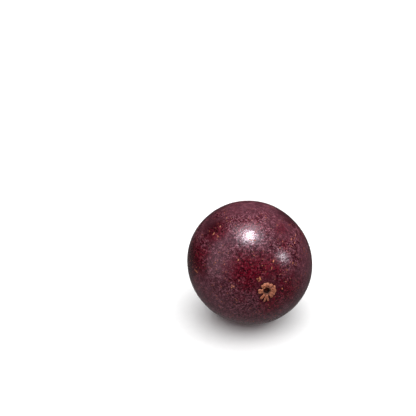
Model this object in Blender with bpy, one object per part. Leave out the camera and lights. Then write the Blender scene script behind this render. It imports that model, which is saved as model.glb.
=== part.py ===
"""Indian plum: one whole ripe fruit lying on its side, with the dried stigmas at its tip.

Metres, +Z up. The fruit's axis runs along Y, with the tip towards -Y and tilted up a little.
The origin is the middle of the small flat spot that the fruit rests on.

Angles round the axis are clock angles: 0 is up, and they grow clockwise as seen by someone who
looks at the tip. Polar angles are measured from the tip.
"""

import math

import bmesh
import bpy

# Body of the fruit
HALF_WIDTH = 0.0120
HALF_LENGTH = 0.0116
TIP_TILT = math.radians(5.0)
FLAT_DEPTH = 0.0003

# Slight unevenness of the body, as shares of its half width
OVAL = 0.024
OVAL_CLOCK = math.radians(137.0)
LOBES = 5
LOBE_SWELL = 0.0025
LOBE_CLOCK = math.radians(18.0)
STEM_TAPER = 0.008

# Tip: a shallow hollow, the sunken seat of the stigmas and the pit in its middle
TIP_HOLLOW_DEPTH = 0.00030
TIP_HOLLOW_RADIUS = 0.0048
SEAT_DEPTH = 0.00026
SEAT_RADIUS = 0.0022
SEAT_EDGE = 0.0009
PIT_DEPTH = 0.00040
PIT_RADIUS = 0.00042

# Stem end: a dimple, the corky patch in it and the round scar of the stem
DIMPLE_DEPTH = 0.00095
DIMPLE_RADIUS = 0.0036
CORK_RADIUS = 0.0029
CORK_RAGGED = 0.16
CORK_EDGE = 0.0005
CORK_HEIGHT = 0.00009
CORK_RIDGES = 13
CORK_RIDGE_SHARE = 0.3
SCAR_RADIUS = 0.00085
SCAR_HEIGHT = 0.00028
SCAR_EDGE = 0.00022
SCAR_CENTRE_DEPTH = 0.00012
SCAR_CENTRE_RADIUS = 0.00028
MOAT_RADIUS = 0.00125
MOAT_WIDTH = 0.00024
MOAT_DEPTH = 0.00016
MOAT_PITS = 9
MOAT_PIT_SHARE = 0.4

# Stigmas: for each, its clock angle and half the angle between its two tips in degrees, how far
# from the middle of the ring its first tip, the notch between and its second tip reach in
# millimetres, and the half width of a tip in degrees. The last one has a single tip.
STIGMAS = (
    (271, 12, 1.57, 1.50, 1.59, 9.5),
    (330, 12, 1.50, 1.42, 1.59, 10.0),
    (22, 16, 1.55, 1.34, 1.50, 13.0),
    (86, 15, 1.68, 1.48, 1.80, 12.0),
    (137, 12, 1.78, 1.58, 1.84, 9.5),
    (183, 12, 2.19, 1.20, 2.33, 6.0),
    (215, 3, 1.94, 1.94, 1.94, 6.5),
)
RING_HOLE_RADIUS = 0.00052
RING_WEB_RADIUS = 0.00112
STIGMA_THICKNESS = 0.00050
STIGMA_LIP = 0.45
STIGMA_TIP = 0.42
STIGMA_CREST = 0.30
CLEFT_THICKNESS = 0.62
STIGMA_GAP = 0.00025

# Grids: how many faces go round and along each piece
FRUIT_ROUND = 64
FRUIT_ALONG = 52
END_CROWDING = 0.74
RING_ROUND = 144
RING_ACROSS = 7
RING_UNDER = 3

# The flat spot is cut clear of points this near to its plane
SNAP = 0.00008

SKIN_COLOUR = (0.085, 0.016, 0.030)
SKIN_ROUGHNESS = 0.36
CORK_COLOUR = (0.46, 0.17, 0.075)
CORK_ROUGHNESS = 0.85

SUPPORT = math.hypot(HALF_WIDTH * math.cos(TIP_TILT), HALF_LENGTH * math.sin(TIP_TILT))
CENTRE_HEIGHT = SUPPORT - FLAT_DEPTH

# An oval fruit that lies on its flank touches down beside its middle, so the middle is moved aside
CENTRE_SIDE = 2.0 * OVAL * HALF_WIDTH * math.sin(2.0 * OVAL_CLOCK)


def smooth(x):
    """Rises from 0 at x = 0 to 1 at x = 1, level at both ends."""
    x = min(max(x, 0.0), 1.0)
    return x * x * (3.0 - 2.0 * x)


def bell(x):
    return math.exp(-x * x)


def place(right, up, out):
    """World place of a point given across, up and along the fruit's axis, from its middle."""
    sine = math.sin(TIP_TILT)
    cosine = math.cos(TIP_TILT)
    return (CENTRE_SIDE + right, up * sine - out * cosine, CENTRE_HEIGHT + up * cosine + out * sine)


def tip_relief(radius):
    """How far the skin lies below the plain body near the tip."""
    hollow = TIP_HOLLOW_DEPTH * bell(radius / TIP_HOLLOW_RADIUS)
    seat = SEAT_DEPTH * smooth((SEAT_RADIUS + SEAT_EDGE - radius) / SEAT_EDGE)
    pit = PIT_DEPTH * bell(radius / PIT_RADIUS) ** 2
    return hollow + seat + pit


def stem_relief(radius, clock):
    """How far the skin lies below the plain body near the stem."""
    dimple = DIMPLE_DEPTH * bell(radius / DIMPLE_RADIUS)
    edge = CORK_RADIUS * (1.0 + CORK_RAGGED * math.sin(3.0 * clock + 0.6) * math.cos(4.0 * clock))
    cork = CORK_HEIGHT * smooth((edge + CORK_EDGE - radius) / CORK_EDGE)
    ridged = CORK_RIDGE_SHARE * smooth((radius - SCAR_RADIUS) / SCAR_RADIUS)
    cork *= 1.0 - ridged * (1.0 - math.cos(CORK_RIDGES * clock))
    scar = SCAR_HEIGHT * smooth((SCAR_RADIUS + SCAR_EDGE - radius) / SCAR_EDGE)
    scar -= SCAR_CENTRE_DEPTH * bell(radius / SCAR_CENTRE_RADIUS)
    moat = MOAT_DEPTH * bell((radius - MOAT_RADIUS) / MOAT_WIDTH)
    moat *= 1.0 - MOAT_PIT_SHARE * (1.0 - math.cos(MOAT_PITS * clock))
    return dimple - cork - scar + moat


def skin_point(polar, clock):
    """Place of the skin, across, up and out along the axis from the fruit's middle."""
    belly = math.sin(polar) ** 2
    swell = 1.0 + OVAL * belly * math.cos(2.0 * (clock - OVAL_CLOCK))
    swell += LOBE_SWELL * belly * math.cos(LOBES * (clock - LOBE_CLOCK))
    swell += STEM_TAPER * math.cos(polar) * belly
    radius = HALF_WIDTH * math.sin(polar) * swell
    out = HALF_LENGTH * math.cos(polar)
    if polar < math.pi / 2.0:
        out -= tip_relief(radius)
    else:
        out += stem_relief(radius, clock)
    return radius * math.sin(clock), radius * math.cos(clock), out


def skin_height(radius):
    """Height of the skin along the axis at this distance from the axis, near the tip."""
    return skin_point(math.asin(radius / HALF_WIDTH), 0.0)[2]


def new_object(name, points, faces):
    mesh = bpy.data.meshes.new(name)
    mesh.from_pydata(points, [], faces)
    made = bpy.data.objects.new(name, mesh)
    bpy.context.scene.collection.objects.link(made)
    return made


def ring_faces(first, second, count):
    """Quads between two rings of points that run the same way round."""
    faces = []
    for i in range(count):
        after = (i + 1) % count
        faces.append((first + i, first + after, second + after, second + i))
    return faces


def fruit_grid():
    """Rings of points from the tip to the stem end, closer together near both ends."""
    points = [place(*skin_point(0.0, 0.0))]
    faces = []
    for row in range(1, FRUIT_ALONG):
        share = row / FRUIT_ALONG
        crowded = share - END_CROWDING * math.sin(2.0 * math.pi * share) / (2.0 * math.pi)
        polar = math.pi * crowded
        for column in range(FRUIT_ROUND):
            clock = 2.0 * math.pi * column / FRUIT_ROUND
            points.append(place(*skin_point(polar, clock)))
        if row > 1:
            start = len(points) - 2 * FRUIT_ROUND
            faces += ring_faces(start + FRUIT_ROUND, start, FRUIT_ROUND)
    points.append(place(*skin_point(math.pi, 0.0)))
    last = len(points) - 1
    for i in range(FRUIT_ROUND):
        after = (i + 1) % FRUIT_ROUND
        faces.append((0, 1 + after, 1 + i))
        faces.append((last, last - FRUIT_ROUND + i, last - FRUIT_ROUND + after))
    return points, faces


def cut_flat_spot(fruit):
    """Cuts the fruit level at the height of the origin, where it rests."""
    work = bmesh.new()
    work.from_mesh(fruit.data)
    for vert in work.verts:
        if abs(vert.co.z) < SNAP:
            vert.co.z = 0.0
    everything = work.verts[:] + work.edges[:] + work.faces[:]
    cut = bmesh.ops.bisect_plane(
        work, geom=everything, dist=1e-8, plane_co=(0, 0, 0), plane_no=(0, 0, -1), clear_outer=True
    )
    rim = [item for item in cut["geom_cut"] if isinstance(item, bmesh.types.BMEdge)]
    bmesh.ops.edgeloop_fill(work, edges=rim)
    bmesh.ops.recalc_face_normals(work, faces=work.faces[:])
    work.to_mesh(fruit.data)
    work.free()


def lobe_at(clock):
    """The reach of the ring here, and from 0 in a cleft to 1 on a tip's middle line."""
    best_reach = RING_WEB_RADIUS
    best_crest = 0.0
    for middle, fork, first, notch, second, width in STIGMAS:
        for side, reach, half_width in ((-1, first, width), (0, notch, fork), (1, second, width)):
            line = math.radians(middle + side * fork)
            turn = math.remainder(clock - line, 2.0 * math.pi) / math.radians(half_width)
            longer = reach / 1000.0 - RING_WEB_RADIUS
            best_reach = max(best_reach, RING_WEB_RADIUS + longer * math.exp(-(turn**6)))
            if side != 0:
                best_crest = max(best_crest, bell(turn))
    return best_reach, best_crest


def stigma_thickness(share, lobe):
    """Thickness of the ring, where share runs from 0 at the hole to 1 at the outer edge."""
    rise = STIGMA_LIP + (1.0 - STIGMA_LIP) * smooth(share / STIGMA_CREST)
    fall = 1.0 - (1.0 - STIGMA_TIP) * smooth((share - STIGMA_CREST) / (1.0 - STIGMA_CREST))
    across = CLEFT_THICKNESS + (1.0 - CLEFT_THICKNESS) * lobe
    return STIGMA_THICKNESS * rise * fall * across


def rosette_grid():
    """Rings of points over the top, outwards from the hole, and back under to the hole."""
    points = []
    faces = []
    top = [(i / RING_ACROSS, True) for i in range(RING_ACROSS + 1)]
    under = [(1.0 - i / RING_UNDER, False) for i in range(RING_UNDER + 1)]
    rings = top + under
    for share, is_top in rings:
        for column in range(RING_ROUND):
            clock = 2.0 * math.pi * column / RING_ROUND
            reach, lobe = lobe_at(clock)
            radius = RING_HOLE_RADIUS + (reach - RING_HOLE_RADIUS) * share
            out = skin_height(radius) + STIGMA_GAP
            if is_top:
                out += stigma_thickness(share, lobe)
            points.append(place(radius * math.sin(clock), radius * math.cos(clock), out))
    for row in range(len(rings)):
        after = (row + 1) % len(rings)
        faces += ring_faces(row * RING_ROUND, after * RING_ROUND, RING_ROUND)
    return points, faces


def finish(made, colour, roughness, sharp_angle):
    """Gives a piece its material and smooth shading."""
    material = bpy.data.materials.new(made.name)
    material.use_nodes = True
    shader = material.node_tree.nodes["Principled BSDF"]
    shader.inputs["Base Color"].default_value = (*colour, 1.0)
    shader.inputs["Roughness"].default_value = roughness
    shader.inputs["Metallic"].default_value = 0.0
    material.diffuse_color = (*colour, 1.0)
    made.data.materials.append(material)
    made.data.shade_smooth()
    made.data.set_sharp_from_angle(angle=math.radians(sharp_angle))


for old in list(bpy.data.objects):
    bpy.data.objects.remove(old, do_unlink=True)

fruit = new_object("fruit", *fruit_grid())
cut_flat_spot(fruit)
finish(fruit, SKIN_COLOUR, SKIN_ROUGHNESS, 40.0)

rosette = new_object("style_rosette", *rosette_grid())
finish(rosette, CORK_COLOUR, CORK_ROUGHNESS, 50.0)
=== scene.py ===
"""Indian plum: the finished look of one whole ripe fruit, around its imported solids.

Metres, +Z up, in the frame of the solids: the fruit lies on its side with its tip towards -Y.
Angles round the axis are clock angles, 0 up and clockwise for someone who looks at the tip.
Polar angles are measured from the tip. Names that end in _MM hold millimetres.
"""

import math

import bpy
import numpy as np
from mathutils import Matrix, Vector, kdtree, noise


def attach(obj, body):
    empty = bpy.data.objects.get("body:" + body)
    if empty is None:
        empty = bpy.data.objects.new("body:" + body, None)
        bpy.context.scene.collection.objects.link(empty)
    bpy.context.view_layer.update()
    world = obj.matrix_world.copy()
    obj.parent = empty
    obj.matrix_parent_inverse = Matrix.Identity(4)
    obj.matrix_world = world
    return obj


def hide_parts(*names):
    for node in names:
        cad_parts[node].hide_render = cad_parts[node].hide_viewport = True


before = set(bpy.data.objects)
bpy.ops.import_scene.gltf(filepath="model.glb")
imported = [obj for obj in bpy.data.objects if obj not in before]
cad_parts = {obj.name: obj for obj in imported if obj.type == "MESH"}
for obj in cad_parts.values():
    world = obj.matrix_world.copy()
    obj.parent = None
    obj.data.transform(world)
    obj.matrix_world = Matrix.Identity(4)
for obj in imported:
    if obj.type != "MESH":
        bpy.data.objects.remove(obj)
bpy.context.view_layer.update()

MM = 0.001

# Body of the fruit, as in its solid
HALF_WIDTH_MM = 12.0
HALF_LENGTH_MM = 11.6
TIP_TILT = math.radians(5.0)
FLAT_DEPTH_MM = 0.3
OVAL = 0.024
OVAL_CLOCK = math.radians(137.0)
LOBES = 5
LOBE_SWELL = 0.0025
LOBE_CLOCK = math.radians(18.0)
STEM_TAPER = 0.008
TIP_HOLLOW_DEPTH_MM = 0.30
TIP_HOLLOW_RADIUS_MM = 4.8
DIMPLE_DEPTH_MM = 0.95
DIMPLE_RADIUS_MM = 3.6

# The fruit's own axes in the world
SUPPORT_MM = math.hypot(HALF_WIDTH_MM * math.cos(TIP_TILT), HALF_LENGTH_MM * math.sin(TIP_TILT))
SIDE_MM = 2.0 * OVAL * HALF_WIDTH_MM * math.sin(2.0 * OVAL_CLOCK)
CENTRE = Vector((SIDE_MM, 0.0, SUPPORT_MM - FLAT_DEPTH_MM)) * MM
RIGHT = Vector((1.0, 0.0, 0.0))
UP = Vector((0.0, math.sin(TIP_TILT), math.cos(TIP_TILT)))
OUT = Vector((0.0, -math.cos(TIP_TILT), math.sin(TIP_TILT)))

# Gentle unevenness of the skin: feature size and height of each layer
WAVES_MM = ((4.5, 0.045), (1.6, 0.010), (0.7, 0.004))
WAVES_SEED = 11.0
FLAT_ROUNDING_MM = 0.05

# Tip: the seat of the stigmas, the pit in its middle with a stub of the style, and puckers round it
SEAT_DEPTH_MM = 0.10
SEAT_RADIUS_MM = 1.9
SEAT_EDGE_MM = 1.1
PIT_DEPTH_MM = 0.50
PIT_RADIUS_MM = 0.50
STUB_HEIGHT_MM = 0.20
STUB_RADIUS_MM = 0.13
PUCKERS = 17
PUCKER_SWAY = 2.0
PUCKER_HEIGHT_MM = 0.014
PUCKER_RADIUS_MM = 2.7
PUCKER_WIDTH_MM = 0.8

# Stem end: the corky patch, the round scar of the stem and the pits round it
CORK_RADIUS_MM = 2.9
CORK_RAGGED = 0.16
CORK_EDGE_MM = 0.35
CORK_EDGE_SWAY_MM = 0.4
CORK_HEIGHT_MM = 0.07
CORK_RIDGES = 13
CORK_RIDGE_SHARE = 0.3
CORK_RIDGE_SWAY = 1.5
CORK_WRINKLE_MM = 0.05
CORK_WRINKLE_SIZE_MM = 0.55
CORK_CRUMB_SIZE_MM = 0.22
CORK_CRUMB_SHARE = 0.5
SCAR_RADIUS_MM = 0.85
SCAR_HEIGHT_MM = 0.26
SCAR_EDGE_MM = 0.16
SCAR_CENTRE_DEPTH_MM = 0.12
SCAR_CENTRE_RADIUS_MM = 0.20
SCAR_RIM_HEIGHT_MM = 0.05
SCAR_RIM_PLACE = 0.78
SCAR_RIM_WIDTH_MM = 0.14
MOAT_RADIUS_MM = 1.20
MOAT_WIDTH_MM = 0.22
MOAT_DEPTH_MM = 0.16
MOAT_PITS = 9
MOAT_PIT_SHARE = 0.4

# Waves round the scar's edge: how many, how high as a share of its radius, and phase
SCAR_WAVES = ((2, 0.04, 0.5), (5, 0.02, 0.0))

# Grid of the skin: points in a ring, steps from tip to stem, and how the rings crowd at both ends
SKIN_ROUND = 420
SKIN_ALONG = 220
END_CROWDING = 0.62

# Stigmas, as in their solid: clock angle and half the angle between the two tips in degrees, how
# far the first tip, the notch and the second tip reach in millimetres, half width of a tip in degrees
STIGMAS = (
    (271, 12, 1.57, 1.50, 1.59, 9.5),
    (330, 12, 1.50, 1.42, 1.59, 10.0),
    (22, 16, 1.55, 1.34, 1.50, 13.0),
    (86, 15, 1.68, 1.48, 1.80, 12.0),
    (137, 12, 1.78, 1.58, 1.84, 9.5),
    (183, 12, 2.19, 1.20, 2.33, 6.0),
    (215, 3, 1.94, 1.94, 1.94, 6.5),
)


def smooth(x):
    """Rises from 0 at x = 0 to 1 at x = 1, level at both ends."""
    x = np.clip(x, 0.0, 1.0)
    return x * x * (3.0 - 2.0 * x)


def bell(x):
    return np.exp(-np.square(x))


def noise_at(points_mm, feature_mm, seed=0.0):
    """Smooth noise from about -1 to 1 at each point, with features of this size."""
    shift = Vector((seed, 2.0 * seed, -seed))
    return np.array([noise.noise(Vector(p) / feature_mm + shift) for p in points_mm])


def to_world(right, up, out):
    """World places in metres of points given in millimetres along the fruit's own axes."""
    local = np.stack([right, up, out], axis=1) * MM
    axes = np.array([RIGHT, UP, OUT])
    return local @ axes + np.array(CENTRE)


def even_skin(polar, clock):
    """Distance from the axis and place along it of the skin's even shape, in millimetres."""
    belly = np.sin(polar) ** 2
    swell = 1.0 + OVAL * belly * np.cos(2.0 * (clock - OVAL_CLOCK))
    swell += LOBE_SWELL * belly * np.cos(LOBES * (clock - LOBE_CLOCK))
    swell += STEM_TAPER * np.cos(polar) * belly
    radius = HALF_WIDTH_MM * np.sin(polar) * swell
    out = HALF_LENGTH_MM * np.cos(polar)
    hollow = TIP_HOLLOW_DEPTH_MM * bell(radius / TIP_HOLLOW_RADIUS_MM)
    dimple = DIMPLE_DEPTH_MM * bell(radius / DIMPLE_RADIUS_MM)
    return radius, out + np.where(polar < math.pi / 2.0, -hollow, dimple)


def ripple(clock, waves):
    """Sum of waves round the axis, each given as how many, how high and its phase."""
    return sum(height * np.cos(count * clock + phase) for count, height, phase in waves)


def seat_depth(radius):
    """How deep the seat of the stigmas is sunk into the skin."""
    return SEAT_DEPTH_MM * smooth((SEAT_RADIUS_MM + SEAT_EDGE_MM - radius) / SEAT_EDGE_MM)


def tip_relief(radius, clock):
    """How far the skin lies below the even shape near the tip."""
    pit = PIT_DEPTH_MM * bell(radius / PIT_RADIUS_MM) ** 2
    stub = STUB_HEIGHT_MM * bell(radius / STUB_RADIUS_MM)
    puckers = PUCKER_HEIGHT_MM * np.cos(PUCKERS * clock + PUCKER_SWAY * np.sin(3.0 * clock))
    puckers *= bell((radius - PUCKER_RADIUS_MM) / PUCKER_WIDTH_MM)
    return seat_depth(radius) + pit - stub + puckers


def cork_edge(clock):
    """How far the corky patch at the stem end reaches."""
    return CORK_RADIUS_MM * (1.0 + CORK_RAGGED * np.sin(3.0 * clock + 0.6) * np.cos(4.0 * clock))


def cork_wrinkles(radius, clock):
    """Wrinkles and crumbs of the corky patch, from about -1 to 1."""
    spots = np.stack([radius * np.cos(clock), radius * np.sin(clock), 0.0 * radius], axis=1)
    near = radius < 2.0 * CORK_RADIUS_MM
    wrinkles = np.zeros(len(radius))
    wrinkles[near] = 1.0 - 2.0 * np.abs(noise_at(spots[near], CORK_WRINKLE_SIZE_MM, seed=3.0))
    wrinkles[near] += CORK_CRUMB_SHARE * noise_at(spots[near], CORK_CRUMB_SIZE_MM, seed=5.0)
    return wrinkles


def stem_relief(radius, clock):
    """How far the skin lies below the even shape near the stem."""
    wrinkles = cork_wrinkles(radius, clock)
    edge = cork_edge(clock) + CORK_EDGE_SWAY_MM * wrinkles
    patch = smooth((edge + CORK_EDGE_MM - radius) / CORK_EDGE_MM)
    ridges = np.cos(CORK_RIDGES * clock + CORK_RIDGE_SWAY * np.sin(2.0 * clock)) - 1.0
    outside = smooth((radius - SCAR_RADIUS_MM) / SCAR_RADIUS_MM)
    height = CORK_HEIGHT_MM * (1.0 + CORK_RIDGE_SHARE * outside * ridges)
    cork = patch * (height + CORK_WRINKLE_MM * wrinkles)
    scar_radius = SCAR_RADIUS_MM * (1.0 + ripple(clock, SCAR_WAVES))
    scar = SCAR_HEIGHT_MM * smooth((scar_radius + SCAR_EDGE_MM - radius) / SCAR_EDGE_MM)
    scar += SCAR_RIM_HEIGHT_MM * bell((radius - SCAR_RIM_PLACE * scar_radius) / SCAR_RIM_WIDTH_MM)
    scar -= SCAR_CENTRE_DEPTH_MM * bell(radius / SCAR_CENTRE_RADIUS_MM)
    pits = np.cos(MOAT_PITS * clock + np.sin(2.0 * clock)) - 1.0
    moat = MOAT_DEPTH_MM * bell((radius - MOAT_RADIUS_MM) / MOAT_WIDTH_MM)
    moat *= 1.0 + MOAT_PIT_SHARE * pits
    return moat - cork - scar


def skin_places(polar, clock):
    """World places of the skin at these angles."""
    radius, out = even_skin(polar, clock)
    tip_side = polar < math.pi / 2.0
    relief = np.zeros(len(polar))
    relief[tip_side] = -tip_relief(radius[tip_side], clock[tip_side])
    relief[~tip_side] = stem_relief(radius[~tip_side], clock[~tip_side])
    local = np.stack([radius * np.sin(clock), radius * np.cos(clock), out], axis=1)
    wave = np.zeros(len(polar))
    for layer, (feature, height) in enumerate(WAVES_MM):
        wave += height * noise_at(local, feature, WAVES_SEED + layer)
    wave *= 1.0 - bell(radius / SEAT_RADIUS_MM)
    local *= (1.0 + wave / HALF_WIDTH_MM)[:, None]
    local[:, 2] += relief
    places = to_world(*local.T)
    rounding = FLAT_ROUNDING_MM * MM
    places[:, 2] = rounding * np.logaddexp(0.0, places[:, 2] / rounding)
    return places


def new_object(name, data):
    """An object of this data, placed in the scene."""
    made = bpy.data.objects.new(name, data)
    bpy.context.scene.collection.objects.link(made)
    return made


def new_piece(name, places, faces):
    """A smooth mesh object of these points and faces."""
    mesh = bpy.data.meshes.new(name)
    mesh.from_pydata([tuple(p) for p in places], [], faces)
    mesh.shade_smooth()
    return new_object(name, mesh)


def ring_faces(first, second, count):
    """Quads between two rings of points that run the same way round."""
    pairs = [(i, (i + 1) % count) for i in range(count)]
    return [(first + i, first + j, second + j, second + i) for i, j in pairs]


def cap_faces(pole, first, count):
    """Triangles between a ring of points and the point that closes it."""
    return [(pole, first + i, first + (i + 1) % count) for i in range(count)]


def make_skin():
    """The whole skin as rings of points from the tip to the stem end."""
    share = np.arange(1, SKIN_ALONG) / SKIN_ALONG
    rows = math.pi * share - 0.5 * END_CROWDING * np.sin(2.0 * math.pi * share)
    columns = 2.0 * math.pi * np.arange(SKIN_ROUND) / SKIN_ROUND
    polar = np.concatenate([[0.0], np.repeat(rows, SKIN_ROUND), [math.pi]])
    clock = np.concatenate([[0.0], np.tile(columns, len(rows)), [0.0]])
    faces = []
    for row in range(1, len(rows)):
        start = 1 + (row - 1) * SKIN_ROUND
        faces += ring_faces(start + SKIN_ROUND, start, SKIN_ROUND)
    last = len(polar) - 1
    faces += [face[::-1] for face in cap_faces(0, 1, SKIN_ROUND)]
    faces += cap_faces(last, last - SKIN_ROUND, SKIN_ROUND)
    return new_piece("plum_skin", skin_places(polar, clock), faces)


# Stigmas as rounded fingers: station along each finger, its height and its share of the full width
FINGER_STATIONS = (
    (0.00, 0.06, 0.60), (0.12, 0.16, 0.78), (0.30, 0.25, 0.92), (0.50, 0.30, 1.00),
    (0.70, 0.30, 1.04), (0.84, 0.26, 1.05), (0.94, 0.20, 0.98), (1.00, 0.15, 0.78),
)
FINGER_SIDES = 14
FINGER_THICKNESS_MM = 0.16
FINGER_START_MM = 0.60
FINGER_SLIMNESS = 1.04
FINGER_END = 0.3
FINGER_SWAY = 0.05
FINGER_BEND = 2.4
FINGER_UNEVENNESS = 0.14
FINGER_SEED_STEP = 1.7
WIDEST_REACH_MM = 1.75
FORK_START = 0.35
WEB_HEIGHT = 0.72
WEB_WIDTH = 0.8

# Ring in which the stigmas are grown together, with waves given as how many, how high and phase
RING_MIDDLE_MM = 0.78
RING_HALF_WIDTH_MM = 0.20
RING_HALF_HEIGHT_MM = 0.18
RING_HEIGHT_MM = 0.13
RING_STATIONS = 48
RING_RADIUS_WAVES = ((2, 0.05, 1.0), (6, 0.035, 0.4))
RING_HEIGHT_WAVES = ((6, 0.2, 1.8),)
RING_WIDTH_WAVES = ((5, 0.12, 0.0),)

# Small hollows in the stigmas: clock angle in degrees, distance, size and depth in millimetres
STIGMA_HOLLOWS = (
    (324, 1.04, 0.14, 0.26), (350, 1.25, 0.10, 0.14), (20, 0.88, 0.12, 0.22),
    (65, 1.32, 0.15, 0.26), (82, 1.00, 0.12, 0.16), (108, 1.35, 0.10, 0.12),
    (137, 1.45, 0.10, 0.10), (273, 1.15, 0.08, 0.08), (182, 1.25, 0.09, 0.12),
)

# Surface of the stigmas: fibres that run outwards, crumbs and pores
ROSETTE_VOXEL_MM = 0.036
CORK_GRAIN_MM = 0.034
CORK_GRAIN_SHARE = 0.6
CORK_PORES_MM = 0.030
FIBRE_STRETCH = 0.45
FIBRE_CIRCLE_MM = 3.2
FIBRE_SIZE_MM = 0.42
CRUMB_SIZE_MM = 0.20
PORE_SIZE_MM = 0.11

# Grid that tells which points of the stigmas lie low, and the reach of the shade on the skin
HEIGHT_CELL_MM = 0.03
HEIGHT_CELLS = 180
HOLLOW_REACH_CELLS = 5
SHADE_REACH_MM = 0.32
PIT_SHADE_EDGE_MM = 0.2


def near_tip_height(radius):
    """Height along the axis of the seat of the stigmas, in millimetres."""
    polar = np.arcsin(radius / HALF_WIDTH_MM)
    return even_skin(polar, 0.0 * polar)[1] - seat_depth(radius)


def tube(centres, sides_mm, tops_mm, side_axes, top_axes, closed):
    """Points and faces of an oval tube through these centres, closed in a ring or with its ends shut."""
    count = len(centres)
    turn = 2.0 * math.pi * np.arange(FINGER_SIDES) / FINGER_SIDES
    points = []
    for centre, side, top, side_axis, top_axis in zip(centres, sides_mm, tops_mm, side_axes, top_axes):
        for angle in turn:
            points.append(centre + side * math.cos(angle) * side_axis + top * math.sin(angle) * top_axis)
    faces = []
    for row in range(count if closed else count - 1):
        after = (row + 1) % count
        faces += ring_faces(row * FINGER_SIDES, after * FINGER_SIDES, FINGER_SIDES)
    if not closed:
        last_step = centres[-1] - centres[-2]
        end = centres[-1] + FINGER_END * sides_mm[-1] * last_step / np.linalg.norm(last_step)
        points += [centres[0], end]
        faces += [face[::-1] for face in cap_faces(len(points) - 2, 0, FINGER_SIDES)]
        faces += cap_faces(len(points) - 1, (count - 1) * FINGER_SIDES, FINGER_SIDES)
    return points, faces


def finger(start_line, line, reach, half_width, lift, seed):
    """One arm of a stigma, bent outwards over the skin from one clock angle to another."""
    share, rises, widths = np.array(FINGER_STATIONS).T
    radius = FINGER_START_MM + (reach - FINGER_START_MM) * share
    sway = FINGER_SWAY * np.sin(FINGER_BEND * share + seed) * share
    angle = start_line + (line - start_line) * share + sway
    uneven = 1.0 + FINGER_UNEVENNESS * math.sin(5.0 * seed)
    height = near_tip_height(radius) + lift * rises * uneven
    centres = np.stack([radius * np.sin(angle), radius * np.cos(angle), height], axis=1)
    across = np.array([math.cos(line), -math.sin(line), 0.0])
    along = np.gradient(centres, axis=0)
    along /= np.linalg.norm(along, axis=1)[:, None]
    tops = np.cross(across, along)
    tops *= np.sign(tops[:, 2])[:, None]
    tops_mm = FINGER_THICKNESS_MM * np.sqrt(widths)
    return tube(centres, half_width * widths, tops_mm, [across] * len(centres), tops, closed=False)


def ring_core():
    """The lumpy ring in which the stigmas are grown together."""
    clock = 2.0 * math.pi * np.arange(RING_STATIONS) / RING_STATIONS
    radius = RING_MIDDLE_MM * (1.0 + ripple(clock, RING_RADIUS_WAVES))
    height = near_tip_height(radius) + RING_HEIGHT_MM * (1.0 + ripple(clock, RING_HEIGHT_WAVES))
    outwards = np.stack([np.sin(clock), np.cos(clock), 0.0 * clock], axis=1)
    upwards = np.array([0.0, 0.0, 1.0])
    centres = radius[:, None] * outwards + upwards * height[:, None]
    sides_mm = RING_HALF_WIDTH_MM * (1.0 + ripple(clock, RING_WIDTH_WAVES))
    tops_mm = np.full(RING_STATIONS, RING_HALF_HEIGHT_MM)
    return tube(centres, sides_mm, tops_mm, outwards, [upwards] * RING_STATIONS, closed=True)


def stigma_arms():
    """Start, line, reach, half width and lift of every arm: two tips and a low web for each stigma."""
    for middle, fork, first, notch, second, width in STIGMAS:
        slim = FINGER_SLIMNESS * math.sin(math.radians(width))
        for side, reach in ((-1, first), (1, second)):
            start = math.radians(middle + FORK_START * side * fork)
            half_width = slim * min(reach, WIDEST_REACH_MM)
            yield start, math.radians(middle + side * fork), reach, half_width, 1.0
        line = math.radians(middle)
        yield line, line, notch, WEB_WIDTH * notch * math.sin(math.radians(fork)), WEB_HEIGHT


def join_arms(made):
    """Turns the overlapping arms and ring into one closed mesh, still in millimetres."""
    modifier = made.modifiers.new("join", "REMESH")
    modifier.mode = "VOXEL"
    modifier.voxel_size = ROSETTE_VOXEL_MM
    depsgraph = bpy.context.evaluated_depsgraph_get()
    joined = bpy.data.meshes.new_from_object(made.evaluated_get(depsgraph), depsgraph=depsgraph)
    made.modifiers.clear()
    made.data = joined
    joined.name = "plum_rosette"
    return joined


def roughened(local, normals, radius):
    """The points moved in and out like dry cork, with the small hollows sunk into them."""
    clock = np.arctan2(local[:, 0], local[:, 1])
    circle = [FIBRE_CIRCLE_MM * np.sin(clock), FIBRE_CIRCLE_MM * np.cos(clock)]
    fibres = noise_at(np.stack([radius * FIBRE_STRETCH, *circle], axis=1), FIBRE_SIZE_MM, seed=7.0)
    crumbs = noise_at(local, CRUMB_SIZE_MM, seed=2.0)
    grain = CORK_GRAIN_SHARE * fibres + CORK_GRAIN_SHARE * crumbs
    pores = np.minimum(noise_at(local, PORE_SIZE_MM, seed=9.0), 0.0)
    rough = local + normals * (CORK_GRAIN_MM * grain + CORK_PORES_MM * pores)[:, None]
    for degrees, distance, size, depth in STIGMA_HOLLOWS:
        line = math.radians(degrees)
        gap = np.hypot(rough[:, 0] - distance * math.sin(line), rough[:, 1] - distance * math.cos(line))
        rough[:, 2] -= depth * bell(gap / size)
    return rough


def lowered(rise, right, up):
    """How far each point lies below the mean height of what is round it, in millimetres."""
    cells = np.stack([right, up], axis=1) / HEIGHT_CELL_MM + HEIGHT_CELLS / 2.0
    row, column = np.clip(cells.astype(int), 0, HEIGHT_CELLS - 1).T
    heights = np.zeros((HEIGHT_CELLS, HEIGHT_CELLS))
    np.maximum.at(heights, (row, column), rise)
    steps = range(-HOLLOW_REACH_CELLS, HOLLOW_REACH_CELLS + 1)
    for axis in (0, 1, 0, 1):
        heights = sum(np.roll(heights, step, axis) for step in steps) / len(steps)
    return heights[row, column] - rise


def mark_points(mesh, name, values):
    """Stores a value for each point, which the materials read by this name."""
    mesh.attributes.new(name, "FLOAT", "POINT").data.foreach_set("value", values)


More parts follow.
